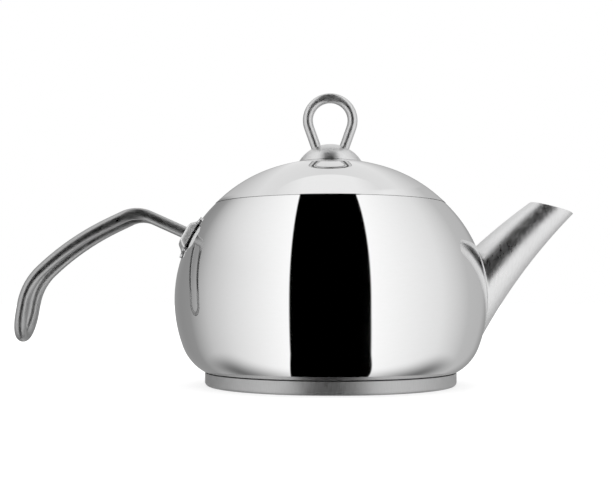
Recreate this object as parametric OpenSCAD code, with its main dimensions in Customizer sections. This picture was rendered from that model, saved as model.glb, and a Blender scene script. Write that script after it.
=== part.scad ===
// Stainless steel kettle with a hairpin wire handle, a short spout and a lift-off lid.
// Origin at the centre of the resting face. +X is the spout side, +Z is up.

/* [Bowl] */
// Widest diameter of the bowl
bowl_d = 160; // [156:1:166]
// Height of the widest point above the table
belly_z = 44; // [43.6:0.1:45]
// Radius of the bowl's side in section
side_r = 68; // [67:0.5:69]
// Radius of the bend from the side into the floor
foot_r = 24; // [23.5:0.1:24.2]
// Angle up the side at which the lid seam lies
seam_angle = 46; // [44:1:47]
// Sheet thickness of the bowl, the lid and the spout
wall = 0.8; // [0.6:0.1:1]

/* [Base] */
// Outer diameter of the base cap
cap_d = 128.7; // [128.4:0.1:130]
// Height of the base cap
cap_h = 6.6; // [6:0.1:6.6]
// Sheet thickness of the base cap
cap_wall = 0.6; // [0.4:0.1:0.6]

/* [Lid] */
// Radius of the lid's crown in section
crown_r = 96; // [94:1:110]
// Radius of the lid's shoulder in section
shoulder_r = 72; // [70:1:74]
// Depth of the lid collar below the seam
collar_drop = 7.4; // [6:0.2:10]

/* [Knob] */
// Diameter of the domed ferrule
ferrule_d = 33.2; // [32:0.2:34]
// Height of the ferrule's dome
ferrule_h = 9.6; // [9:0.2:11]
// Wire diameter of the knob loop
loop_wire_d = 5.2; // [4.8:0.2:5.4]
// Radius of the knob loop at the wire's centre
loop_r = 11.65; // [11:0.05:13]
// Height of the knob loop's centre above the crown
loop_rise = 20.7; // [20:0.1:21.5]

/* [Spout] */
// Outer radius of the spout at the bowl
spout_root_r = 14.7; // [14.2:0.1:15.5]
// Outer radius of the spout at the mouth
spout_tip_r = 9.4; // [8.8:0.1:10]
// Length of the spout along its axis
spout_l = 50.6; // [46:0.2:54]
// Slope of the mouth, falling away from the bowl
mouth_slope = 15.3; // [8:0.1:20]

/* [Handle] */
// Diameter of the handle rod
rod_d = 6; // [5.6:0.1:6.2]
// Distance between the rod's two runs, centre to centre
rod_pitch = 24; // [22:0.5:25]
// Angle up the bowl's side at which the handle starts
bracket_angle = 29.5; // [28:0.5:31]
// Sheet thickness of the handle cover
cover_wall = 1; // [0.8:0.1:1]

/* [Hidden] */
$fn = 96;
CAP_BEND = 2;
SEAM_GAP = 0.15;
SIT = 0.02;

// Bowl section: the foot bend meets the side at foot_angle below level
foot_angle = 21;
side_c = [bowl_d / 2 - side_r, belly_z];
foot_c = side_c + (side_r - foot_r) * [cos(foot_angle), -sin(foot_angle)];
floor_z = foot_c.y - foot_r;
seam_r = side_c.x + side_r * cos(seam_angle);
seam_z = side_c.y + side_r * sin(seam_angle);
ledge_w = 3.2;
lip_drop = 3.5;
lip_r = seam_r - ledge_w;

// Base
core_r = cap_d / 2 - CAP_BEND - 1.2;

// Lid section: the shoulder and the crown share a tangent
lid_z = seam_z + SEAM_GAP;
shoulder_x = 7.5;
shoulder_c = [shoulder_x, lid_z - sqrt(pow(shoulder_r, 2) - pow(seam_r - shoulder_x, 2))];
crown_c = [0, shoulder_c.y - sqrt(pow(crown_r - shoulder_r, 2) - pow(shoulder_x, 2))];
crown_z = crown_c.y + crown_r;
blend_angle = atan2(shoulder_c.y - crown_c.y, shoulder_c.x);
collar_r = lip_r - 0.6;

// Knob
ferrule_r = ferrule_d / 2;
ferrule_base_z = crown_c.y + sqrt(pow(crown_r, 2) - pow(ferrule_r, 2));
dome_r = (pow(ferrule_r, 2) + pow(ferrule_h, 2)) / (2 * ferrule_h);
dome_c = [0, ferrule_base_z + ferrule_h - dome_r];
loop_z = crown_z + loop_rise;
leg_lean = 19.5;
leg_l = 14;
screw_r = 2;
screw_head_r = 3.8;
screw_head_h = 2.4;
screw_grip = 5.5;
washer_r = 7;
washer_h = 1;
washer_z = crown_c.y + sqrt(pow(crown_r - wall, 2) - pow(washer_r, 2)) - 0.05;

// Spout: the axis is an arc that flattens towards the mouth
spout_start = [bowl_d / 2, 55.4];
spout_heading = 49.5;
spout_arc_r = 310;
SPOUT_SIDES = 40;
SPOUT_RINGS = 10;
WELD_SINK = 0.01;
strainer_hole_d = 5.6;
strainer_pitch = 8;
strainer_angle = 4.9;

// Handle: [straight length, bend radius, bend angle] from the bowl outwards
rod_start = [-71.6, 76.5];
rod_heading = 155.8;
rod_steps = [[22.5, 15.6, 50], [8.2, 130, 18.4], [0, 29.5, 36.4], [5, 0, 0]];
ROD_SIDES = 20;
BEND_STEP = 9;

// Handle cover: the face, its chamfered ends and the skirt that spreads from it
face_h = 2.4;
skirt_z = -1.5;
face_mid = [[-8.3, 13], [4.7, 13]];
face_end = [[-5.4, 18.4], [3, 18.4]];
skirt_mid = [[-11, 14], [7.6, 14]];
skirt_end = [[-8.5, 19.2], [5, 19.2]];
wing_top = [34, 37.5];
wing_foot = [18, 22.5];
wing_half_w = 17;

// Points along an arc about c, leaving out the first `skip` of them
function arc(c, r, from, to, count, skip = 0) =
    [for (i = [skip:count]) c + r * [cos(from + (to - from) * i / count), sin(from + (to - from) * i / count)]];

// Height angle of a point at height z on a circle about c
function rise_angle(c, r, z) = asin((z - c.y) / r);

// Argument at which f turns positive, between lo and hi
function crossing(f, lo, hi, steps = 26) =
    let (mid = (lo + hi) / 2)
    steps == 0 ? mid
    : f(mid) > 0 ? crossing(f, lo, mid, steps - 1)
    : crossing(f, mid, hi, steps - 1);

// Outline of the bowl's outside, from the floor's centre to the seam
function bowl_outline() = concat(
    [[0, floor_z]],
    arc(foot_c, foot_r, -90, -foot_angle, 10),
    arc(side_c, side_r, -foot_angle, seam_angle, 16, 1));

// A point on the spout: s along the axis, turn about it, inset from the outer surface
function spout_point(s, turn, inset) =
    let (heading = spout_heading - s / spout_arc_r * 180 / PI,
         r = spout_root_r + (spout_tip_r - spout_root_r) * s / spout_l - inset,
         x = spout_start.x + spout_arc_r * (sin(spout_heading) - sin(heading)),
         z = spout_start.y + spout_arc_r * (cos(heading) - cos(spout_heading)))
    [x - sin(heading) * r * cos(turn), r * sin(turn), z + cos(heading) * r * cos(turn)];

// Distance of a point outside the bowl's side
function outside_bowl(p) =
    norm([norm([p.x, p.y]) - side_c.x, p.z - side_c.y]) - side_r + WELD_SINK;

mouth_c = spout_point(spout_l, 0, spout_tip_r);
mouth_normal = [sin(mouth_slope), 0, cos(mouth_slope)];

// One line of points along the spout, from the bowl to the mouth's plane
function spout_line(turn, inset) =
    let (first = crossing(function (s) outside_bowl(spout_point(s, turn, inset)), -30, 25),
         last = crossing(function (s) (spout_point(s, turn, inset) - mouth_c) * mouth_normal, 25, 80))
    [for (i = [0:SPOUT_RINGS]) spout_point(first + (last - first) * i / SPOUT_RINGS, turn, inset)];

// Points [x, z, heading] along a rod's steps, from p with heading a
function stations(p, a, steps, i = 0) =
    i == len(steps) ? [[p.x, p.y, a]]
    : let (turn = steps[i][2], bend_r = steps[i][1],
           q = p + steps[i][0] * [cos(a), sin(a)],
           count = ceil(turn / BEND_STEP),
           bend = [for (k = [0:count]) let (b = a + turn * k / max(1, count))
               [q.x + bend_r * (sin(b) - sin(a)), q.y - bend_r * (cos(b) - cos(a)), b]])
    concat(
        steps[i][0] > 0 ? [[p.x, p.y, a]] : [],
        [for (k = [0:count - 1]) bend[k]],
        stations([bend[count].x, bend[count].y], a + turn, steps, i + 1));

// Ring of points round a rod at a station, part way through a sideways turn of radius side_r
function rod_ring(at, turn, r, side_turn_r) =
    let (centre = [at.x + side_turn_r * sin(turn) * cos(at.z), -side_turn_r * cos(turn),
                   at.y + side_turn_r * sin(turn) * sin(at.z)],
         up = [-sin(at.z), 0, cos(at.z)],
         across = [-cos(at.z) * sin(turn), cos(turn), -sin(at.z) * sin(turn)])
    [for (k = [0:ROD_SIDES - 1])
        centre + r * (cos(360 * k / ROD_SIDES) * up + sin(360 * k / ROD_SIDES) * across)];

// Triangles of a strip between two neighbouring lines of points
function strip(a, b, count) =
    [for (i = [0:count - 1]) each [[a + i, a + i + 1, b + i], [b + i, a + i + 1, b + i + 1]]];

// Moves the bracket's frame onto the bowl: x up the side, z straight out of it
module on_bracket() {
    translate([-side_c.x - side_r * cos(bracket_angle), 0, side_c.y + side_r * sin(bracket_angle)])
        rotate([0, bracket_angle - 90, 0])
            children();
}

module bowl_solid() {
    rotate_extrude()
        polygon(concat(bowl_outline(), [[0, seam_z]]));
}

// Round holes through the bowl's wall behind the spout
module strainer_holes() {
    translate([side_c.x, 0, side_c.y])
        rotate([0, 90 - strainer_angle, 0])
            translate([0, 0, side_r - 3 * wall])
                for (k = [0:6])
                    translate(k == 6 ? [0, 0] : strainer_pitch * [cos(60 * k), sin(60 * k)])
                        cylinder(d = strainer_hole_d, h = 5 * wall);
}

module body_shell() {
    inner_r = side_r - wall;
    inner_top = rise_angle(side_c, inner_r, seam_z - wall);
    color("silver")
        difference() {
            rotate_extrude()
                polygon(concat(
                    bowl_outline(),
                    [[lip_r, seam_z], [lip_r, seam_z - lip_drop], [lip_r + wall, seam_z - lip_drop],
                     [lip_r + wall, seam_z - wall]],
                    arc(side_c, inner_r, inner_top, -foot_angle, 16),
                    arc(foot_c, foot_r - wall, -foot_angle, -90, 10, 1),
                    [[0, floor_z + wall]]));
            strainer_holes();
        }
}

module base_core() {
    color("darkgray")
        translate([0, 0, cap_wall])
            cylinder(r = core_r, h = floor_z - cap_wall);
}

module base_cap() {
    bend_c = [cap_d / 2 - CAP_BEND, CAP_BEND];
    color("lightgray")
        rotate_extrude()
            polygon(concat(
                [[0, 0]],
                arc(bend_c, CAP_BEND, -90, 0, 6),
                [[cap_d / 2, cap_h], [cap_d / 2 - cap_wall, cap_h]],
                arc(bend_c, CAP_BEND - cap_wall, 0, -90, 6),
                [[0, cap_wall]]));
}

module spout() {
    rows = SPOUT_RINGS + 1;
    turns = [for (k = [0:SPOUT_SIDES - 1]) 360 * k / SPOUT_SIDES];
    outer = [for (t = turns) each spout_line(t, 0)];
    inner = [for (t = turns) each spout_line(t, wall)];
    lift = len(outer);
    next = [for (k = [0:SPOUT_SIDES - 1]) (k + 1) % SPOUT_SIDES];
    color("silver")
        polyhedron(
            points = concat(outer, inner),
            faces = [for (k = [0:SPOUT_SIDES - 1])
                let (a = k * rows, b = next[k] * rows)
                each concat(
                    strip(a, b, SPOUT_RINGS),
                    strip(lift + b, lift + a, SPOUT_RINGS),
                    [[a, b, lift + a], [lift + a, b, lift + b],
                     [b + rows - 1, a + rows - 1, lift + a + rows - 1],
                     [b + rows - 1, lift + a + rows - 1, lift + b + rows - 1]])]);
}

// A thin slab with the given half outline, mirrored across the handle's plane
module half_outline_slab(z, outline, inset) {
    translate([0, 0, z])
        linear_extrude(0.01)
            polygon([for (side = [-1, 1], p = outline)
                [p.x - sign(p.x) * inset, side * (p.y - inset)]]);
}

// The pressed cover's raised block, or its hollow when inset
module cover_block(inset) {
    hull() {
        half_outline_slab(face_h - 0.01 - inset, face_mid, inset);
        half_outline_slab(face_h - 0.01 - inset, face_end, inset);
        half_outline_slab(skirt_z - inset, skirt_mid, inset);
        half_outline_slab(skirt_z - inset, skirt_end, inset);
    }
}

// A plate that follows the bowl between two angles up its side, from and to heights above it
module bowl_band(span, half_w, from, to) {
    half_turn = asin(half_w / (side_c.x + side_r * cos(span.x)));
    rotate([0, 0, 180 - half_turn])
        rotate_extrude(angle = 2 * half_turn)
            polygon(concat(
                arc(side_c, side_r + from, span.x, span.y, 3),
                arc(side_c, side_r + to, span.y, span.x, 3)));
}

// The rod's straight ends, for cutting holes of the given diameter
module rod_ends(d) {
    for (side = [-1, 1])
        translate([rod_start.x, side * rod_pitch / 2, rod_start.y])
            rotate([90, 0, 0])
                rotate([0, 0, rod_heading])
                    rotate([0, 90, 0])
                        cylinder(d = d, h = rod_steps[0][0]);
}

module handle_cover() {
    color("gainsboro")
        difference() {
            union() {
                difference() {
                    on_bracket() cover_block(0);
                    bowl_solid();
                }
                bowl_band(wing_top, wing_half_w, SIT, cover_wall);
                bowl_band(wing_foot, wing_half_w, SIT, cover_wall);
            }
            on_bracket() cover_block(cover_wall);
            rod_ends(rod_d + 0.3);
        }
}

module handle_anchor() {
    color("gray")
        difference() {
            bowl_band([25.5, 32.5], 16, SIT, face_h - cover_wall - 0.1);
            rod_ends(rod_d);
        }
}

// A solid rod through rings of ROD_SIDES points
module rod(rings) {
    last = (len(rings) - 1) * ROD_SIDES;
    polyhedron(
        points = [for (ring = rings) each ring],
        faces = concat(
            [[for (k = [0:ROD_SIDES - 1]) k]],
            [[for (k = [ROD_SIDES - 1:-1:0]) last + k]],
            [for (i = [0:len(rings) - 2], k = [0:ROD_SIDES - 1])
                let (a = i * ROD_SIDES + k, b = i * ROD_SIDES + (k + 1) % ROD_SIDES)
                each [[a, a + ROD_SIDES, b], [b, a + ROD_SIDES, b + ROD_SIDES]]]));
}

module handle_rod() {
    run = stations(rod_start, rod_heading, rod_steps);
    end = run[len(run) - 1];
    u_steps = 12;
    color("silver")
        rod([
            for (at = run) rod_ring(at, 0, rod_d / 2, rod_pitch / 2),
            for (k = [1:u_steps - 1]) rod_ring(end, 180 * k / u_steps, rod_d / 2, rod_pitch / 2),
            for (i = [len(run) - 1:-1:0]) rod_ring(run[i], 180, rod_d / 2, rod_pitch / 2)]);
}

module lid_shell() {
    shoulder_start = rise_angle(shoulder_c, shoulder_r, lid_z);
    inner_start = rise_angle(shoulder_c, shoulder_r - wall, lid_z);
    color("silver")
        difference() {
            rotate_extrude()
                polygon(concat(
                    arc(shoulder_c, shoulder_r, shoulder_start, blend_angle, 9),
                    arc(crown_c, crown_r, blend_angle, 90, 6, 1),
                    arc(crown_c, crown_r - wall, 90, blend_angle, 6),
                    arc(shoulder_c, shoulder_r - wall, blend_angle, inner_start, 9, 1)));
            translate([0, 0, crown_z - 3])
                cylinder(r = screw_r + 0.2, h = 6);
        }
}

module lid_collar() {
    skin_r = shoulder_r - wall;
    function skin_x(z) = shoulder_c.x + sqrt(pow(skin_r, 2) - pow(z - shoulder_c.y, 2)) - SIT;
    color("silver")
        rotate_extrude()
            polygon([
                [collar_r - wall, seam_z - collar_drop],
                [collar_r, seam_z - collar_drop],
                [collar_r, lid_z],
                [skin_x(lid_z), lid_z],
                [skin_x(lid_z + wall), lid_z + wall],
                [collar_r - wall, lid_z + wall]]);
}

// Places children at the top of each of the loop's legs, with +Z running down the leg
module on_legs() {
    for (side = [-1, 1])
        translate([0, 0, loop_z])
            rotate([0, side * leg_lean, 0])
                translate([side * loop_r, 0, 0])
                    rotate([180, 0, 0])
                        children();
}

module knob_ferrule() {
    edge = acos(ferrule_r / crown_r);
    color("silver")
        difference() {
            rotate_extrude()
                polygon(concat(
                    arc(crown_c, crown_r + SIT, 90, edge, 4),
                    arc(dome_c, dome_r, rise_angle(dome_c, dome_r, ferrule_base_z + SIT), 90, 16, 1)));
            on_legs() cylinder(d = loop_wire_d, h = leg_l);
            translate([0, 0, crown_z - 1])
                cylinder(r = screw_r, h = screw_grip + 1);
        }
}

module knob_loop() {
    foot = [loop_r * cos(leg_lean) - leg_l * sin(leg_lean),
            loop_z - loop_r * sin(leg_lean) - leg_l * cos(leg_lean)];
    steps = [[leg_l, loop_r, 180 + 2 * leg_lean], [leg_l, 0, 0]];
    color("silver")
        rod([for (at = stations(foot, 90 - leg_lean, steps)) rod_ring(at, 0, loop_wire_d / 2, 0)]);
}

module knob_washer() {
    color("darkgray")
        difference() {
            translate([0, 0, washer_z - washer_h])
                cylinder(r = washer_r, h = washer_h);
            translate([0, 0, washer_z - 2 * washer_h])
                cylinder(r = screw_r + 0.2, h = 3 * washer_h);
        }
}

module knob_screw() {
    head_z = washer_z - washer_h - screw_head_h;
    socket_d = 3.4;
    color("dimgray")
        difference() {
            union() {
                translate([0, 0, head_z])
                    cylinder(r = screw_head_r, h = screw_head_h);
                translate([0, 0, head_z + screw_head_h])
                    cylinder(r = screw_r, h = crown_z + screw_grip - 0.4 - head_z - screw_head_h);
            }
            translate([0, 0, head_z - 1])
                cylinder(d = socket_d, h = 2.4, $fn = 6);
        }
}

body_shell();
base_core();
base_cap();
spout();
handle_cover();
handle_anchor();
handle_rod();
lid_shell();
lid_collar();
knob_ferrule();
knob_loop();
knob_washer();
knob_screw();
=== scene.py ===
"""A mirror-polished stovetop kettle: bowl, spout, hairpin wire handle and lift-off lid.

Lengths are in millimetres, as in the CAD, and angles in degrees unless it says radians. Each
mesh is turned into metres when it is finished."""
import math

import bmesh
import bpy
from mathutils import Matrix, Vector


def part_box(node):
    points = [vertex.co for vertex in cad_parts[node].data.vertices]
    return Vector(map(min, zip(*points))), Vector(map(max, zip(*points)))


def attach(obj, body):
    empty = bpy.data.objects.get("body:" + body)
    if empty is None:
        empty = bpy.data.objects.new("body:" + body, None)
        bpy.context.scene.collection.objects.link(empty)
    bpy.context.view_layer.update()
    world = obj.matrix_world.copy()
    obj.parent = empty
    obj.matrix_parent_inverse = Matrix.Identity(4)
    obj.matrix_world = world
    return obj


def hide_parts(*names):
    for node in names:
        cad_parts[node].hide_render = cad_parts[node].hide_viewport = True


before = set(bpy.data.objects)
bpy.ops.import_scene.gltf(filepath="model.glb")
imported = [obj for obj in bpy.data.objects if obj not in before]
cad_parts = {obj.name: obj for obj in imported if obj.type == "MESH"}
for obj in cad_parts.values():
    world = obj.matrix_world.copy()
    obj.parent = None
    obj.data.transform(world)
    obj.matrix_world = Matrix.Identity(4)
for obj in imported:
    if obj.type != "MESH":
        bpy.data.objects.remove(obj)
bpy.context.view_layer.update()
scene = bpy.context.scene

MM = 0.001
WALL = 0.8
ON_AXIS = 1e-6
SHARP_EDGE = 40

# Rounding of an outline's corners: the least turn that is rounded, the most that a corner takes
# of the edges beside it, and the shape of its curve
MIN_CORNER = 15
MAX_EDGE_SHARE = 0.45
CORNER_PULL = 0.6
CORNER_STEPS = 5

# Bowl section, as (radius, height): the foot bend runs into the side, which rises to the lid seam
SIDE_C = Vector((12, 44))
SIDE_R = 68
FOOT_ANGLE = 21
FOOT_R = 24
FOOT_C = SIDE_C + (SIDE_R - FOOT_R) * Vector((math.cos(math.radians(FOOT_ANGLE)),
                                              -math.sin(math.radians(FOOT_ANGLE))))
FLOOR_Z = FOOT_C.y - FOOT_R
SEAM_ANGLE = 46
SEAM_R = SIDE_C.x + SIDE_R * math.cos(math.radians(SEAM_ANGLE))
SEAM_Z = SIDE_C.y + SIDE_R * math.sin(math.radians(SEAM_ANGLE))
LIP_R = SEAM_R - 3.2
LIP_DROP = 3.5
BOWL_CORNER_R = 0.15
SEAM_STEP = 0.2

# Base cap
CAP_R = 64.35
CAP_H = 6.6
CAP_BEND = 2
CAP_WALL = 0.6
CAP_CORNER_R = 0.25

# Lid section: the rim runs straight into the shoulder, and the shoulder into the crown
LID_Z = SEAM_Z + 0.15
RIM_ANGLE = 47.4
RIM_DROP = 0.08
RIM_SHARES = (0, 0.05, 0.3, 0.65)
LID_CORNER_R = 0.04
SHOULDER_R = 72
SHOULDER_X = 7.5
SHOULDER_C = Vector((SHOULDER_X, LID_Z - math.sqrt(SHOULDER_R ** 2 - (SEAM_R - SHOULDER_X) ** 2)))
CROWN_R = 96
CROWN_C = Vector((0, SHOULDER_C.y - math.sqrt((CROWN_R - SHOULDER_R) ** 2 - SHOULDER_C.x ** 2)))
CROWN_Z = CROWN_C.y + CROWN_R
BLEND_ANGLE = math.degrees(math.atan2(SHOULDER_C.y - CROWN_C.y, SHOULDER_C.x))
COLLAR_R = LIP_R - 0.6
COLLAR_Z = SEAM_Z - 7.4
COLLAR_CORNER_R = 0.35

# Knob
FERRULE_R = 16.6
FERRULE_H = 9.6
FERRULE_Z = CROWN_C.y + math.sqrt(CROWN_R ** 2 - FERRULE_R ** 2)
DOME_R = (FERRULE_R ** 2 + FERRULE_H ** 2) / (2 * FERRULE_H)
DOME_C = Vector((0, FERRULE_Z + FERRULE_H - DOME_R))
LOOP_WIRE_R = 2.6
LOOP_R = 11.65
LOOP_Z = CROWN_Z + 20.7
LEG_LEAN = 19.5
LEG_L = 14
LEG_FIT = 0.12
SCREW_R = 2
SCREW_HEAD_R = 3.8
SCREW_HEAD_H = 2.4
SCREW_TOP = CROWN_Z + 5.1
SCREW_HOLE_TOP = CROWN_Z + 5.5
SCREW_FIT = 0.2
SOCKET_R = 1.7
SOCKET_DEPTH = 1.4
FERRULE_CORNER_R = 0.35
CLEARANCE = 0.02
WASHER_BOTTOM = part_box("knob_washer")[0].z / MM

# Spout: its axis is an arc that flattens towards the mouth
SPOUT_START = Vector((80, 55.4))
SPOUT_HEADING = 49.5
SPOUT_ARC_R = 310
SPOUT_ROOT_R = 14.7
SPOUT_TIP_R = 9.4
SPOUT_L = 50.6
MOUTH_SLOPE = 15.3
SPOUT_SIDES = 128
SPOUT_RINGS = 44
WELD = 0.9
WELD_PULL = 0.62
WELD_STEPS = 6
ROOT_SEARCH = (-30, 25)
MOUTH_SEARCH = (25, 80)
BURIED = 0.3
LIP_STEPS = 8
STRAINER_ANGLE = 4.9
STRAINER_PITCH = 8
STRAINER_HOLE_R = 2.8
STRAINER_HOLES = 7
STRAINER_CUT = 3

# Handle, whose steps are (straight length, bend radius, bend angle) from the bowl outwards
ROD_R = 3
ROD_Y = 12
ROD_START = (-71.6, 76.5)
ROD_HEADING = 155.8
ROD_STEPS = ((22.5, 15.6, 50), (8.2, 130, 18.4), (0, 29.5, 36.4), (5, 0, 0))
U_STEPS = 45

# Handle cover, in a frame on the bowl's side: u runs up the side, y across it, and height straight
# out of it. A point is (low edge's u, high edge's u, y).
BRACKET_ANGLE = 29.5
COVER_WALL = 1
FACE_H = 2.4
SKIRT_H = -1.5
FACE_MID = (-8.3, 4.7, 13)
FACE_END = (-5.4, 3, 18.4)
SKIRT_MID = (-11, 7.6, 14)
SKIRT_END = (-8.5, 5, 19.2)
WING_LOW, WING_HIGH = -13.6, 9.6
WING_HALF = 17
WING_CORNER = 3.2
WING_LIFT = 0.04
WING_END_SLOPE = 2.5
WING_END_START = 0.4
SIDE_BLEND = 0.9
END_BLEND = 1.5
WING_BLEND = 1.6
SETTLE_STEPS = 12
COVER_ROWS = 96
COVER_COLUMNS = 84
ROD_HOLE_FIT = 0.15
ROD_HOLE_BACK = 4


def arc(centre, radius, start, end, step=1.5):
    """Points along an arc, angles in degrees."""
    count = max(1, round(abs(end - start) / step))
    turns = [math.radians(start + (end - start) * i / count) for i in range(count + 1)]
    return [Vector((centre[0] + radius * math.cos(a), centre[1] + radius * math.sin(a))) for a in turns]


def rise(centre, radius, z):
    """Angle at which a circle reaches height z."""
    return math.degrees(math.asin((z - centre[1]) / radius))


def bezier(a, b, c, d, count):
    """Points along a cubic curve, both ends included."""
    points = []
    for i in range(count + 1):
        t = i / count
        points.append(a * (1 - t) ** 3 + b * 3 * t * (1 - t) ** 2 + c * 3 * t * t * (1 - t) + d * t ** 3)
    return points


def soften(outline, radius):
    """Rounds a closed outline's sharp corners, apart from those on the axis."""
    softened = []
    for i, corner in enumerate(outline):
        before, after = outline[i - 1] - corner, outline[(i + 1) % len(outline)] - corner
        turn = math.pi - before.angle(after)
        if corner.x < ON_AXIS or turn < math.radians(MIN_CORNER):
            softened.append(corner)
            continue
        reach = min(radius * math.tan(turn / 2),
                    MAX_EDGE_SHARE * before.length, MAX_EDGE_SHARE * after.length)
        first = corner + before.normalized() * reach
        last = corner + after.normalized() * reach
        softened += bezier(first, first.lerp(corner, CORNER_PULL), last.lerp(corner, CORNER_PULL),
                           last, CORNER_STEPS)
    return softened


def circle(r, z, sides):
    """Points round the Z axis at height z."""
    turns = [2 * math.pi * k / sides for k in range(sides)]
    return [Vector((r * math.cos(a), r * math.sin(a), z)) for a in turns]


def lathe(outline, sides=256):
    """A closed outline of (radius, height) points turned round the Z axis."""
    mesh = bmesh.new()
    rings = []
    for r, z in outline:
        if r < ON_AXIS:
            rings.append([mesh.verts.new((0, 0, z))] * sides)
        else:
            rings.append([mesh.verts.new(p) for p in circle(r, z, sides)])
    for ring, following in zip(rings, rings[1:] + rings[:1]):
        for k in range(sides):
            m = (k + 1) % sides
            corners = list(dict.fromkeys((ring[k], ring[m], following[m], following[k])))
            if len(corners) > 2:
                mesh.faces.new(corners)
    return mesh


def skin(mesh, rows, closed_rows=True):
    """Faces between neighbouring rows of vertices."""
    for row, following in zip(rows, rows[1:]):
        for k in range(len(row) if closed_rows else len(row) - 1):
            m = (k + 1) % len(row)
            mesh.faces.new((row[k], row[m], following[m], following[k]))


def sweep(rings):
    """A solid rod through rings of points, with flat ends."""
    mesh = bmesh.new()
    rows = [[mesh.verts.new(p) for p in ring] for ring in rings]
    skin(mesh, rows)
    mesh.faces.new(rows[0])
    mesh.faces.new(rows[-1])
    return mesh


def bare(name, mesh):
    """A scene object made from a mesh still in millimetres."""
    bmesh.ops.recalc_face_normals(mesh, faces=mesh.faces)
    data = bpy.data.meshes.new(name)
    for face in mesh.faces:
        face.smooth = True
    mesh.to_mesh(data)
    mesh.free()
    made = bpy.data.objects.new(name, data)
    scene.collection.objects.link(made)
    return made


def apply_modifiers(made):
    """Puts the result of an object's modifiers in its own mesh."""
    bpy.context.view_layer.update()
    shaped = bpy.data.meshes.new_from_object(made.evaluated_get(bpy.context.evaluated_depsgraph_get()))
    made.modifiers.clear()
    made.data = shaped


def cut(made, cutters):
    """Takes closed meshes away from an object."""
    tool = bare("cutter", cutters)
    trim = made.modifiers.new("cut", "BOOLEAN")
    trim.operation, trim.solver, trim.object = "DIFFERENCE", "EXACT", tool
    apply_modifiers(made)
    bpy.data.objects.remove(tool)


def piece(made, slot, body, node, finish=None):
    """Finishes a piece: metres, shading, material, the body it rides on and the CAD node it replaces.
    finish names its material where that isn't the slot's own."""
    made.data.transform(Matrix.Scale(MM, 4))
    made.data.shade_smooth()
    made.data.set_sharp_from_angle(angle=math.radians(SHARP_EDGE))
    made.data.materials.clear()
    made.data.materials.append(FINISHES[finish or slot])
    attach(made, body)
    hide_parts(node)


def peg(mesh, start, end, radius, sides=48):
    """Adds a closed cylinder between two points to a mesh."""
    along = end - start
    place = Matrix.Translation(start.lerp(end, 0.5)) @ along.to_track_quat("Z", "Y").to_matrix().to_4x4()
    bmesh.ops.create_cone(mesh, cap_ends=True, segments=sides, radius1=radius, radius2=radius,
                          depth=along.length, matrix=place)


# Materials

def node(tree, kind, inputs=None, **settings):
    """Adds a shader node. Inputs are values or other nodes' outputs."""
    made = tree.nodes.new(kind)
    for key, value in settings.items():
        setattr(made, key, value)
    for key, value in (inputs or {}).items():
        if isinstance(value, bpy.types.NodeSocket):
            tree.links.new(value, made.inputs[key])
        else:
            made.inputs[key].default_value = value
    return made


def maths(tree, operation, a, b=0.0):
    return node(tree, "ShaderNodeMath", {0: a, 1: b}, operation=operation).outputs[0]


def times(tree, a, b):
    return maths(tree, "MULTIPLY", a, b)


def blend(tree, share, a, b):
    """Colour a where share is 0 and colour b where it is 1."""
    return node(tree, "ShaderNodeMix", {0: share, 6: a, 7: b}, data_type="RGBA").outputs[2]


def fade(tree, value, start, end, low=0.0, high=1.0):
    """Goes smoothly from low to high as value goes from start to end."""
    made = node(tree, "ShaderNodeMapRange", {0: value, 1: start, 2: end, 3: low, 4: high},
                interpolation_type="SMOOTHSTEP")
    return made.outputs[0]


def stretched_noise(tree, place, scale, detail=2.0):
    """Noise with its own scale along each axis of the object."""
    where = node(tree, "ShaderNodeVectorMath", {0: place, 1: scale}, operation="MULTIPLY").outputs[0]
    noise = node(tree, "ShaderNodeTexNoise", {"Vector": where, "Scale": 1.0, "Detail": detail})
    return noise.outputs["Fac"]


# Smudges' size and detail, how slowly turned grain changes round the axis, how much smoother and
# duller the lines are as a share of the roughness, and how much duller worn edges are
SMUDGE_SCALE = (34, 34, 34)
SMUDGE_DETAIL = 4.0
TURN_SHARE = 0.05
LINE_SHARES = (-0.15, 0.25)
EDGE_WEAR = 0.06

# The noise values that each effect runs between, and the pointiness that wear runs between
SMUDGE_RANGE = (0.35, 0.7)
LINE_RANGE = (0.3, 0.75)
TINT_RANGE = (0.3, 0.7)
WEAR_RANGE = (0.52, 0.6)


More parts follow.
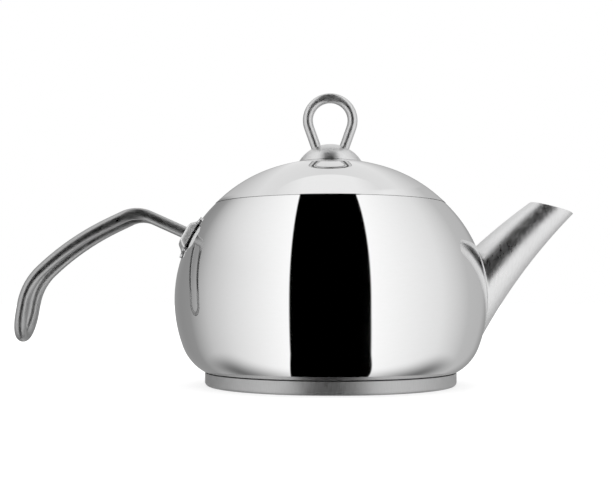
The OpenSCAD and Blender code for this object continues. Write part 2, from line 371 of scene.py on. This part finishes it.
def steel(name, grey, smooth, dull, grain, grain_depth, turned=0.0):
    """Bare metal. Its roughness drifts from smooth to dull in smudges, with fine lines over them.
    grain is the lines' scale along x, y and z, and grain_depth their depth in metres. turned above 0
    bends the lines round the Z axis, with their scale along radius, turn and z, and stretches the
    highlights across them."""
    material = bpy.data.materials.new(name)
    material.use_nodes = True
    tree = material.node_tree
    tree.nodes.clear()
    place = node(tree, "ShaderNodeTexCoord").outputs["Object"]
    if turned:
        x, y, z = node(tree, "ShaderNodeSeparateXYZ", {0: place}).outputs
        radius = maths(tree, "SQRT", maths(tree, "ADD", times(tree, x, x), times(tree, y, y)))
        turn = times(tree, maths(tree, "ARCTAN2", y, x), TURN_SHARE)
        lines_at = node(tree, "ShaderNodeCombineXYZ", {0: radius, 1: turn, 2: z}).outputs[0]
    else:
        lines_at = place
    smudge = stretched_noise(tree, place, SMUDGE_SCALE, SMUDGE_DETAIL)
    lines = stretched_noise(tree, lines_at, grain)
    edge = node(tree, "ShaderNodeNewGeometry").outputs["Pointiness"]
    wear = fade(tree, edge, *WEAR_RANGE, 0.0, EDGE_WEAR)
    wobble = maths(tree, "ADD", fade(tree, smudge, *SMUDGE_RANGE, smooth, dull),
                   fade(tree, lines, *LINE_RANGE, *[share * smooth for share in LINE_SHARES]))
    roughness = maths(tree, "ADD", wobble, wear)
    darker = grey * (1 - smooth / 4)
    tint = blend(tree, fade(tree, lines, *TINT_RANGE),
                 (darker, darker, darker, 1), (grey, grey, grey * 1.002, 1))
    bump = node(tree, "ShaderNodeBump", {"Strength": 1.0, "Distance": grain_depth, "Height": lines})
    shader = node(tree, "ShaderNodeBsdfPrincipled",
                  {"Base Color": tint, "Metallic": 1.0, "Roughness": roughness, "Normal": bump.outputs[0]})
    if turned:
        shader.inputs["Anisotropic"].default_value = turned
        radial = node(tree, "ShaderNodeTangent", direction_type="RADIAL", axis="Z")
        tree.links.new(radial.outputs[0], shader.inputs["Tangent"])
    output = node(tree, "ShaderNodeOutputMaterial")
    tree.links.new(shader.outputs[0], output.inputs[0])
    return material


# The polished steel's own grey, which the studio light makes up for
STEEL = 0.82

# Each finish: grey, least and most roughness, grain, its depth, and the stretch of turned parts
FINISHES = {
    "polished_steel": steel("polished", STEEL, 0.025, 0.05, (260, 260, 900), 2e-8),
    "drawn_steel": steel("drawn", 0.8, 0.3, 0.37, (900, 900, 120), 1e-7),
    "satin_steel": steel("satin", 0.56, 0.4, 0.46, (2600, 0.4, 260), 5e-8),
    "pressed_steel": steel("pressed", 0.8, 0.3, 0.38, (900, 240, 900), 6e-7),
    "rod_steel": steel("rod", 0.72, 0.33, 0.4, (300, 900, 300), 2e-7),
    # The handle rod's grey sits well below the other rod steel's as painted shade: it stands in for the
    # dark surroundings that the rod reflects.
    "painted_dark_rod_steel": steel("painted_dark_rod", 0.46, 0.3, 0.38, (300, 900, 300), 3e-7),
    "plain_steel": steel("plain", 0.6, 0.26, 0.36, (2400, 2, 2400), 2e-6, 0.3),
    "base_aluminium": steel("aluminium", 0.72, 0.34, 0.46, (1800, 1, 1800), 5e-6, 0.4)}


# Bowl

def outside_bowl(p):
    """Distance from a point to the bowl's side, and the direction straight out of it."""
    across = math.hypot(p.x, p.y)
    section = Vector((across, p.z)) - SIDE_C
    out = section.normalized()
    return section.length - SIDE_R, Vector((out.x * p.x / across, out.x * p.y / across, out.y))


def onto_bowl(p, height=0.0):
    """The nearest point to p at a height above the bowl's side."""
    distance, out = outside_bowl(p)
    return p + (height - distance) * out


def bowl_outline():
    """Up the outside to the seam, in and down the lip, and back down the inside. A point just below
    the seam keeps the shading even right up to it."""
    inner_top = rise(SIDE_C, SIDE_R - WALL, SEAM_Z - WALL)
    return soften(
        [Vector((0, FLOOR_Z))]
        + arc(FOOT_C, FOOT_R, -90, -FOOT_ANGLE)
        + arc(SIDE_C, SIDE_R, -FOOT_ANGLE, SEAM_ANGLE - SEAM_STEP)[1:]
        + [Vector(p) for p in ((SEAM_R, SEAM_Z), (LIP_R, SEAM_Z), (LIP_R, SEAM_Z - LIP_DROP),
                               (LIP_R + WALL, SEAM_Z - LIP_DROP), (LIP_R + WALL, SEAM_Z - WALL))]
        + arc(SIDE_C, SIDE_R - WALL, inner_top, -FOOT_ANGLE)
        + arc(FOOT_C, FOOT_R - WALL, -FOOT_ANGLE, -90)[1:]
        + [Vector((0, FLOOR_Z + WALL))], BOWL_CORNER_R)


bowl = bare("bowl", lathe(bowl_outline()))
strainer = bmesh.new()
aim = Vector((math.cos(math.radians(STRAINER_ANGLE)), 0, math.sin(math.radians(STRAINER_ANGLE))))
up = aim.cross(Vector((0, 1, 0))).normalized()
for hole in range(STRAINER_HOLES):
    turn = 2 * math.pi * hole / (STRAINER_HOLES - 1)
    pitch = STRAINER_PITCH if hole < STRAINER_HOLES - 1 else 0
    off = (up * math.cos(turn) + Vector((0, math.sin(turn), 0))) * pitch
    middle = Vector((SIDE_C.x, 0, SIDE_C.y)) + aim * (SIDE_R - WALL / 2) + off
    peg(strainer, middle - aim * STRAINER_CUT, middle + aim * STRAINER_CUT, STRAINER_HOLE_R)
cut(bowl, strainer)
piece(bowl, "polished_steel", "kettle", "body_shell")

# Base

cap_bend = (CAP_R - CAP_BEND, CAP_BEND)
base = bare("base_band", lathe(soften(
    [Vector((0, 0))]
    + arc(cap_bend, CAP_BEND, -90, 0, 9)
    + [Vector((CAP_R, CAP_H)), Vector((CAP_R - CAP_WALL, CAP_H))]
    + arc(cap_bend, CAP_BEND - CAP_WALL, 0, -90, 9)
    + [Vector((0, CAP_WALL))], CAP_CORNER_R)))
piece(base, "satin_steel", "kettle", "base_cap")


# Spout

def spout_point(s, turn, inset):
    """A point on the spout: s along its axis, turn about it in radians, inset from the outer surface."""
    start, heading = math.radians(SPOUT_HEADING), math.radians(SPOUT_HEADING) - s / SPOUT_ARC_R
    r = SPOUT_ROOT_R + (SPOUT_TIP_R - SPOUT_ROOT_R) * s / SPOUT_L - inset
    x = SPOUT_START.x + SPOUT_ARC_R * (math.sin(start) - math.sin(heading))
    z = SPOUT_START.y + SPOUT_ARC_R * (math.cos(heading) - math.cos(start))
    return Vector((x - math.sin(heading) * r * math.cos(turn), r * math.sin(turn),
                   z + math.cos(heading) * r * math.cos(turn)))


def crossing(function, low, high, halvings=40):
    """Where a function turns positive, between low and high."""
    for _ in range(halvings):
        middle = (low + high) / 2
        low, high = (low, middle) if function(middle) > 0 else (middle, high)
    return middle


mouth_c = spout_point(SPOUT_L, 0, SPOUT_TIP_R)
mouth_out = Vector((math.sin(math.radians(MOUTH_SLOPE)), 0, math.cos(math.radians(MOUTH_SLOPE))))


def spout_line(turn):
    """The outline of the spout's wall at one turn about its axis, from the bowl's side and back to it:
    the weld's fillet, the outside, the rounded lip, the inside and two points inside the bowl's wall."""
    def span(inset):
        first = crossing(lambda s: outside_bowl(spout_point(s, turn, inset))[0], *ROOT_SEARCH)
        return first, crossing(lambda s: (spout_point(s, turn, inset) - mouth_c).dot(mouth_out),
                               *MOUTH_SEARCH)

    first, last = span(0)
    root = spout_point(first, turn, 0)
    rise_start = spout_point(first + WELD, turn, 0)
    rise_dir = (spout_point(first + WELD + 1, turn, 0) - rise_start).normalized()
    away = root - spout_point(first, turn, SPOUT_ROOT_R)
    out = outside_bowl(root)[1]
    foot = onto_bowl(root + (away - out * away.dot(out)).normalized() * WELD)
    foot_out = outside_bowl(foot)[1]
    foot_dir = (foot - root).normalized()
    foot_dir = (foot_dir - foot_out * foot_dir.dot(foot_out)).normalized()
    fillet = bezier(foot, foot - foot_dir * WELD * WELD_PULL,
                    rise_start - rise_dir * WELD * WELD_PULL, rise_start, WELD_STEPS)
    start = first + WELD
    end = last - WALL / 2
    outer = [spout_point(start + (end - start) * i / SPOUT_RINGS, turn, 0)
             for i in range(1, SPOUT_RINGS + 1)]
    lip = []
    for i in range(1, LIP_STEPS):
        phi = math.pi * i / LIP_STEPS
        inset = WALL / 2 * (1 - math.cos(phi))
        lip.append(spout_point(span(inset)[1] - WALL / 2 * (1 - math.sin(phi)), turn, inset))
    inner_first, inner_last = span(WALL)
    inner_end = inner_last - WALL / 2
    inner = [spout_point(inner_end + (inner_first - inner_end) * i / SPOUT_RINGS, turn, WALL)
             for i in range(SPOUT_RINGS + 1)]
    buried = [onto_bowl(inner[-1], -BURIED), onto_bowl(foot, -BURIED)]
    return fillet + outer + lip + inner + buried


spout_mesh = bmesh.new()
lines = [[spout_mesh.verts.new(p) for p in spout_line(2 * math.pi * k / SPOUT_SIDES)]
         for k in range(SPOUT_SIDES)]
skin(spout_mesh, lines + lines[:1])
spout = bare("spout_tube", spout_mesh)
piece(spout, "polished_steel", "kettle", "spout", "drawn_steel")


# Handle

def stations(x, z, heading, steps, bend_step=2.0):
    """Points (x, z, heading in radians) along a rod that runs straight and then bends, at each step."""
    heading = math.radians(heading)
    points = [(x, z, heading)]
    for straight, radius, turn in steps:
        if straight:
            x, z = x + straight * math.cos(heading), z + straight * math.sin(heading)
            points.append((x, z, heading))
        count = math.ceil(turn / bend_step)
        start, start_x, start_z = heading, x, z
        for k in range(1, count + 1):
            heading = start + math.radians(turn) * k / count
            x = start_x + radius * (math.sin(heading) - math.sin(start))
            z = start_z - radius * (math.cos(heading) - math.cos(start))
            points.append((x, z, heading))
    return points


def rod_ring(at, turn, r, side_turn_r, sides=40):
    """Points round a rod at a station, part way through a sideways turn, in radians."""
    x, z, heading = at
    reach = side_turn_r * math.sin(turn)
    centre = Vector((x + reach * math.cos(heading), -side_turn_r * math.cos(turn),
                     z + reach * math.sin(heading)))
    up = Vector((-math.sin(heading), 0, math.cos(heading)))
    across = Vector((-math.cos(heading) * math.sin(turn), math.cos(turn),
                     -math.sin(heading) * math.sin(turn)))
    angles = [2 * math.pi * k / sides for k in range(sides)]
    return [centre + r * (math.cos(a) * up + math.sin(a) * across) for a in angles]


run = stations(*ROD_START, ROD_HEADING, ROD_STEPS)
rod_rings = [rod_ring(at, 0, ROD_R, ROD_Y) for at in run]
rod_rings += [rod_ring(run[-1], math.pi * k / U_STEPS, ROD_R, ROD_Y) for k in range(1, U_STEPS)]
rod_rings += [rod_ring(at, math.pi, ROD_R, ROD_Y) for at in reversed(run)]
handle = bare("handle_hairpin", sweep(rod_rings))
# The handle takes the darker rod grey, which is painted shade in place of the dark reflections along it.
piece(handle, "rod_steel", "kettle", "handle_rod", "painted_dark_rod_steel")

lean = math.radians(BRACKET_ANGLE)
bracket_out = Vector((-math.cos(lean), 0, math.sin(lean)))
bracket_up = Vector((math.sin(lean), 0, math.cos(lean)))
bracket_at = Vector((-SIDE_C.x, 0, SIDE_C.y)) + SIDE_R * bracket_out


def on_bracket(u, y, height):
    """A point given in the cover's frame."""
    return bracket_at + bracket_up * u + Vector((0, y, 0)) + bracket_out * height


def smooth_least(a, b, width):
    """The lesser of a and b, blended where they are within width of each other."""
    share = max(0.0, 1 - abs(a - b) / width)
    return min(a, b) - share * share * width / 4


def plane_height(p, q, r, u, y):
    """Height at (u, y) of the plane through three points (u, y, height)."""
    normal = (Vector(q) - Vector(p)).cross(Vector(r) - Vector(p))
    return p[2] - (normal.x * (u - p[0]) + normal.y * (y - p[1])) / normal.z


def cover_height(u, y):
    """Height of the cover's outside in the bracket's frame: a raised block that runs out into two wings."""
    y = abs(y)
    bowl_h = 0.0
    for _ in range(SETTLE_STEPS):
        bowl_h -= outside_bowl(on_bracket(u, y, bowl_h))[0]
    block = FACE_H
    for side in (0, 1):
        mid, end = (FACE_MID[side], FACE_MID[2], FACE_H), (FACE_END[side], FACE_END[2], FACE_H)
        low = (SKIRT_MID[side], SKIRT_MID[2], SKIRT_H)
        along = (mid[0], mid[1] - 1, FACE_H)
        block = smooth_least(block, plane_height(mid, end, low, u, y), SIDE_BLEND)
        block = smooth_least(block, plane_height(mid, along, low, u, y), SIDE_BLEND)
    end_slope = (FACE_H - SKIRT_H) / (SKIRT_END[2] - FACE_END[2])
    block = smooth_least(block, FACE_H - (y - FACE_END[2]) * end_slope, END_BLEND)
    past_end = max(0.0, y - WING_HALF + WING_END_START)
    wing = bowl_h + COVER_WALL + WING_LIFT - WING_END_SLOPE * past_end
    return max(-smooth_least(-block, -wing, WING_BLEND), SKIRT_H)


def cover_limits(y):
    """Where the cover's two long edges lie at y: the wings' rounded corners, then the block's skirt."""
    y = abs(y)
    share = (y - SKIRT_MID[2]) / (SKIRT_END[2] - SKIRT_MID[2])
    edges = []
    back = max(0.0, y - (WING_HALF - WING_CORNER))
    for side, wing in ((0, WING_LOW), (1, WING_HIGH)):
        skirt = SKIRT_MID[side] + (SKIRT_END[side] - SKIRT_MID[side]) * max(0, share)
        if back < WING_CORNER:
            pulled = WING_CORNER - math.sqrt(WING_CORNER ** 2 - back ** 2)
            reach = wing + pulled * (1 if side == 0 else -1)
            edges.append(min(reach, skirt) if side == 0 else max(reach, skirt))
        else:
            edges.append(skirt)
    return edges


cover_mesh = bmesh.new()
cover_grid = []
for i in range(COVER_ROWS + 1):
    y = math.sin(math.pi / 2 * (2 * i / COVER_ROWS - 1)) * SKIRT_END[2]
    low, high = cover_limits(y)
    us = [low + (high - low) * k / COVER_COLUMNS for k in range(COVER_COLUMNS + 1)]
    cover_grid.append([cover_mesh.verts.new(on_bracket(u, y, cover_height(u, y))) for u in us])
skin(cover_mesh, cover_grid, closed_rows=False)
cover = bare("handle_bracket_cover", cover_mesh)
thick = cover.modifiers.new("sheet", "SOLIDIFY")
thick.thickness, thick.offset, thick.use_even_offset = COVER_WALL, -1, False
apply_modifiers(cover)
rod_holes = bmesh.new()
heading = math.radians(ROD_HEADING)
rod_dir = Vector((math.cos(heading), 0, math.sin(heading)))
for side in (-1, 1):
    start = Vector((ROD_START[0], side * ROD_Y, ROD_START[1]))
    peg(rod_holes, start - rod_dir * ROD_HOLE_BACK, start + rod_dir * ROD_STEPS[0][0],
        ROD_R + ROD_HOLE_FIT)
cut(cover, rod_holes)
piece(cover, "pressed_steel", "kettle", "handle_cover")


# Lid

def lid_outline():
    """Up the outside from the rim to the screw's hole, and back down the inside. The points crowd
    towards the rim, which keeps the shading even there."""
    rim_z = LID_Z - RIM_DROP
    hole_r = SCREW_R + SCREW_FIT
    rim_end = arc(SHOULDER_C, SHOULDER_R, RIM_ANGLE, RIM_ANGLE + 1)[0]
    slope = math.radians(RIM_ANGLE)
    rim = Vector((rim_end.x + (rim_end.y - rim_z) * math.tan(slope), rim_z))
    hole_top = math.degrees(math.acos(hole_r / CROWN_R))
    hole_under = math.degrees(math.acos(hole_r / (CROWN_R - WALL)))
    inner_start = rise(SHOULDER_C, SHOULDER_R - WALL, rim_z)
    return soften(
        [rim.lerp(rim_end, share) for share in RIM_SHARES]
        + arc(SHOULDER_C, SHOULDER_R, RIM_ANGLE, BLEND_ANGLE)
        + arc(CROWN_C, CROWN_R, BLEND_ANGLE, hole_top)[1:]
        + arc(CROWN_C, CROWN_R - WALL, hole_under, BLEND_ANGLE)
        + arc(SHOULDER_C, SHOULDER_R - WALL, BLEND_ANGLE, inner_start)[1:], LID_CORNER_R)


lid = bare("lid_dome", lathe(lid_outline()))
piece(lid, "polished_steel", "lid", "lid_shell")


def flange_r(z):
    """How far out the collar's flange reaches at height z, up to the lid's inside."""
    return SHOULDER_C.x + math.sqrt((SHOULDER_R - WALL) ** 2 - (z - SHOULDER_C.y) ** 2) - CLEARANCE


flange_top = LID_Z + WALL
collar = bare("lid_skirt", lathe(soften([Vector(p) for p in (
    (COLLAR_R - WALL, COLLAR_Z), (COLLAR_R, COLLAR_Z), (COLLAR_R, LID_Z), (flange_r(LID_Z), LID_Z),
    (flange_r(flange_top), flange_top), (COLLAR_R - WALL, flange_top))], COLLAR_CORNER_R)))
piece(collar, "plain_steel", "lid", "lid_collar")

# Knob

under = math.degrees(math.acos(SCREW_R / CROWN_R))
edge = math.degrees(math.acos(FERRULE_R / CROWN_R))
ferrule = bare("knob_dome", lathe(soften(
    arc(CROWN_C, CROWN_R + CLEARANCE, under, edge)
    + arc(DOME_C, DOME_R, rise(DOME_C, DOME_R, FERRULE_Z + CLEARANCE), 90, 2)[1:]
    + [Vector((0, SCREW_HOLE_TOP)), Vector((SCREW_R, SCREW_HOLE_TOP))], FERRULE_CORNER_R), 192))
leg_holes = bmesh.new()
tilt = math.radians(LEG_LEAN)
for side in (-1, 1):
    leg = Vector((side * math.sin(tilt), 0, math.cos(tilt)))
    top = Vector((side * LOOP_R * math.cos(tilt), 0, LOOP_Z - LOOP_R * math.sin(tilt)))
    peg(leg_holes, top, top - leg * LEG_L, LOOP_WIRE_R + LEG_FIT)
cut(ferrule, leg_holes)
piece(ferrule, "polished_steel", "lid", "knob_ferrule", "drawn_steel")

loop_foot = (LOOP_R * math.cos(tilt) - LEG_L * math.sin(tilt),
             LOOP_Z - LOOP_R * math.sin(tilt) - LEG_L * math.cos(tilt))
loop_steps = ((LEG_L, LOOP_R, 180 + 2 * LEG_LEAN), (LEG_L, 0, 0))
loop_run = stations(*loop_foot, 90 - LEG_LEAN, loop_steps, 3)
loop = bare("knob_wire", sweep([rod_ring(at, 0, LOOP_WIRE_R, 0) for at in loop_run]))
piece(loop, "rod_steel", "lid", "knob_loop")


def screw_mesh(sides=48):
    """A cap screw, head down, with a hexagonal socket and a softened head."""
    sixth = math.pi / 3

    def hexagon(z):
        points = []
        for k in range(sides):
            a = 2 * math.pi * k / sides
            off_flat = math.cos((a + sixth / 2) % sixth - sixth / 2)
            across = Vector((math.cos(a), math.sin(a), 0)) * SOCKET_R * math.cos(sixth / 2) / off_flat
            points.append(across + Vector((0, 0, z)))
        return points

    head_bend, end_bevel = 0.5, 0.4
    socket_mouth_r, socket_bevel, mouth_drop = 2.1, 0.2, 0.02
    bottom = WASHER_BOTTOM - SCREW_HEAD_H
    profile = [(socket_mouth_r, bottom + mouth_drop)]
    for step in range(5):
        a = math.pi / 8 * step
        profile.append((SCREW_HEAD_R - head_bend + head_bend * math.sin(a),
                        bottom + head_bend - head_bend * math.cos(a)))
    profile += [(SCREW_HEAD_R, WASHER_BOTTOM), (SCREW_R, WASHER_BOTTOM),
                (SCREW_R, SCREW_TOP - end_bevel), (SCREW_R - end_bevel, SCREW_TOP)]
    rings = [hexagon(bottom + SOCKET_DEPTH), hexagon(bottom + socket_bevel)]
    rings += [circle(r, z, sides) for r, z in profile]
    mesh = bmesh.new()
    rows = [[mesh.verts.new(p) for p in ring] for ring in rings]
    skin(mesh, rows)
    mesh.faces.new(rows[0])
    mesh.faces.new(rows[-1])
    return mesh


screw = bare("knob_cap_screw", screw_mesh())
piece(screw, "plain_steel", "lid", "knob_screw")

# The CAD's own pieces that stay
for name, slot in (("base_core", "base_aluminium"),
                   ("handle_anchor", "plain_steel"),
                   ("knob_washer", "plain_steel")):
    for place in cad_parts[name].material_slots:
        place.material = FINISHES[slot]


# Studio

FLOOR_HALF = 4000
FLOOR_GREY = 0.42
FLOOR_GLOW = 0.62
FLOOR_ROUGHNESS = (0.85, 0.95)
SPECK_SCALE = (40, 40, 40)
SPECK_RANGE = (0.3, 0.7)

# Camera: its place, how far it looks up, its turn about the vertical, its lens and its sensor's width
CAMERA_AT = Vector((-17.8, -556, 46.5))
CAMERA_UP = 2.88
CAMERA_TURN = -0.56
LENS = 63.07
SENSOR = 36


def light_level(shown):
    """Linear light for a grey level from 0 to 255."""
    share = shown / 255
    return share / 12.92 if share <= 0.04045 else ((share + 0.055) / 1.055) ** 2.4


def plain_grey(shown):
    """A colour from a grey level."""
    return (light_level(shown),) * 3 + (1,)


# The studio's soft walls, as (degrees, grey level). The degrees are how far round from the kettle's
# front a mirror faces when a viewer in front sees that part of the wall in it.
SIDE_WALLS = ((-90, 120), (-62, 140), (-50, 190), (-38, 217), (-16, 250),
              (14, 250), (42, 222), (58, 182), (90, 162))
TOP_WALLS = ((-90, 130), (-64, 180), (-45, 219), (-16, 250), (14, 250), (42, 220), (58, 185), (90, 160))
BACK_WALL = ((-90, 150), (-60, 188), (-40, 218), (0, 214), (40, 220), (60, 188), (90, 150))
CEILING = ((-40, 206), (-15, 233), (15, 233), (36, 206))
UNDER_GREY = 64
FAR_GREY = 140
SOFT_LIGHT = 1.5

# The dark gap's two sides in the same degrees, how soft they are, and how far they draw in low down
DARK_GAP = (-15.3, 13.3)
GAP_SOFTNESS = 0.3
GAP_DRAWN_IN = (3.5, 8)

# Where one part of the light fades into the next: by how far a mirror faces up, as a sine, by the
# height z of the direction, or by its y, which is 1 straight behind the kettle
WALLS_END = (0.752, 0.762)
GAP_END = (0.757, 0.754)
GAP_END_Y = (0.56, 0.46)
TOP_Z = (0.3, 0.9)
CEILING_Z = (0.855, 0.87)
UNDER_Y = (-0.08, 0.6)
UNDER_Z = (-0.45, -0.75)
UNDER_SIDES = (0.15, 0.85, 0.35, 0.9)
FAR_Y = (0.75, 0.97)
FAR_Z = (0.3, 0.1)


def grey_ramp(tree, facing, stops):
    """Shades looked up by facing, in radians, from -90 to 90 degrees."""
    place = maths(tree, "ADD", maths(tree, "DIVIDE", facing, math.pi), 0.5)
    made = node(tree, "ShaderNodeValToRGB", {0: place})
    elements = made.color_ramp.elements
    while len(elements) > 1:
        elements.remove(elements[-1])
    for i, (angle, shown) in enumerate(stops):
        at = (angle + 90) / 180
        stop = elements[0] if i == 0 else elements.new(at)
        stop.position = at
        stop.color = plain_grey(shown)
    return made.outputs[0]


def dark_gap(tree, facing, lift, y):
    """1 inside the gap between the front walls, which ends overhead just behind the kettle."""
    low = maths(tree, "POWER", maths(tree, "MAXIMUM", times(tree, lift, -1.0), 0.0), 2.0)
    left, right = DARK_GAP
    left_in, right_in = [times(tree, low, math.radians(most)) for most in GAP_DRAWN_IN]
    from_left = fade(tree, maths(tree, "ADD", facing, left_in),
                     math.radians(left - GAP_SOFTNESS), math.radians(left + GAP_SOFTNESS))
    from_right = fade(tree, maths(tree, "SUBTRACT", facing, right_in),
                      math.radians(right + GAP_SOFTNESS), math.radians(right - GAP_SOFTNESS))
    gap = times(tree, times(tree, from_left, from_right), fade(tree, lift, *GAP_END))
    return times(tree, gap, fade(tree, y, *GAP_END_Y))


def studio_light():
    """The light round the kettle. Reflections show soft walls with a dark gap between them in front,
    a ceiling, a dark patch low down behind the kettle and a grey one straight behind it. Everything
    else is lit by an even white, and the camera sees white."""
    world = bpy.data.worlds.new("studio")
    scene.world = world
    world.use_nodes = True
    world.cycles.sampling_method = "NONE"
    tree = world.node_tree
    tree.nodes.clear()
    direction = node(tree, "ShaderNodeTexCoord").outputs["Generated"]
    x, y, z = node(tree, "ShaderNodeSeparateXYZ", {0: direction}).outputs

    # Which way a mirror faces, and how far up, when a viewer in front of the kettle sees this
    # direction in it
    to_front = maths(tree, "SUBTRACT", 1.0, y)
    facing = maths(tree, "ARCTAN2", x, to_front)
    lift = maths(tree, "DIVIDE", z, maths(tree, "SQRT", times(tree, to_front, 2.0)))

    front = blend(tree, fade(tree, z, *TOP_Z),
                  grey_ramp(tree, facing, SIDE_WALLS), grey_ramp(tree, facing, TOP_WALLS))
    above = blend(tree, fade(tree, z, *CEILING_Z),
                  grey_ramp(tree, facing, BACK_WALL), grey_ramp(tree, facing, CEILING))
    to_sides = fade(tree, maths(tree, "ABSOLUTE", facing), *UNDER_SIDES)
    below = times(tree, times(tree, fade(tree, y, *UNDER_Y), fade(tree, z, *UNDER_Z)), to_sides)
    far = times(tree, fade(tree, y, *FAR_Y), fade(tree, z, *FAR_Z))
    seen = blend(tree, fade(tree, lift, *WALLS_END), front, above)
    seen = blend(tree, below, seen, plain_grey(UNDER_GREY))
    seen = blend(tree, far, seen, plain_grey(FAR_GREY))
    seen = blend(tree, dark_gap(tree, facing, lift, y), seen, plain_grey(0))

    mirrored = node(tree, "ShaderNodeBackground", {"Color": seen, "Strength": 1 / STEEL})
    soft = node(tree, "ShaderNodeBackground", {"Color": (1, 1, 1, 1), "Strength": SOFT_LIGHT})
    white = node(tree, "ShaderNodeBackground", {"Color": (1, 1, 1, 1), "Strength": 1.0})
    path = node(tree, "ShaderNodeLightPath").outputs
    unseen = node(tree, "ShaderNodeMixShader",
                  {0: path["Is Glossy Ray"], 1: soft.outputs[0], 2: mirrored.outputs[0]})
    whole = node(tree, "ShaderNodeMixShader",
                 {0: path["Is Camera Ray"], 1: unseen.outputs[0], 2: white.outputs[0]})
    tree.links.new(whole.outputs[0], node(tree, "ShaderNodeOutputWorld").inputs[0])


def floor_paper():
    """A dull surface with a trace of texture and a glow of its own, which thins the shadows on it."""
    material = bpy.data.materials.new("floor_paper")
    material.use_nodes = True
    tree = material.node_tree
    shader = tree.nodes["Principled BSDF"]
    speck = stretched_noise(tree, node(tree, "ShaderNodeTexCoord").outputs["Object"], SPECK_SCALE)
    tree.links.new(fade(tree, speck, *SPECK_RANGE, *FLOOR_ROUGHNESS), shader.inputs["Roughness"])
    shader.inputs["Base Color"].default_value = (FLOOR_GREY, FLOOR_GREY, FLOOR_GREY, 1)
    shader.inputs["Emission Color"].default_value = (1, 1, 1, 1)
    shader.inputs["Emission Strength"].default_value = FLOOR_GLOW
    shader.inputs["Specular IOR Level"].default_value = 0
    return material


def add_floor():
    """A plain pale floor. Reflections don't show it."""
    mesh = bmesh.new()
    bmesh.ops.create_grid(mesh, x_segments=8, y_segments=8, size=FLOOR_HALF)
    floor = bare("floor", mesh)
    floor.data.transform(Matrix.Scale(MM, 4))
    floor.data.materials.append(floor_paper())
    floor.visible_glossy = False


def add_camera():
    data = bpy.data.cameras.new("camera")
    data.sensor_width = SENSOR
    data.lens = LENS
    camera = bpy.data.objects.new("camera", data)
    camera.location = CAMERA_AT * MM
    camera.rotation_euler = (math.radians(90 + CAMERA_UP), 0, math.radians(CAMERA_TURN))
    scene.collection.objects.link(camera)
    scene.camera = camera


studio_light()
add_floor()
add_camera()
scene.view_settings.view_transform = "Standard"
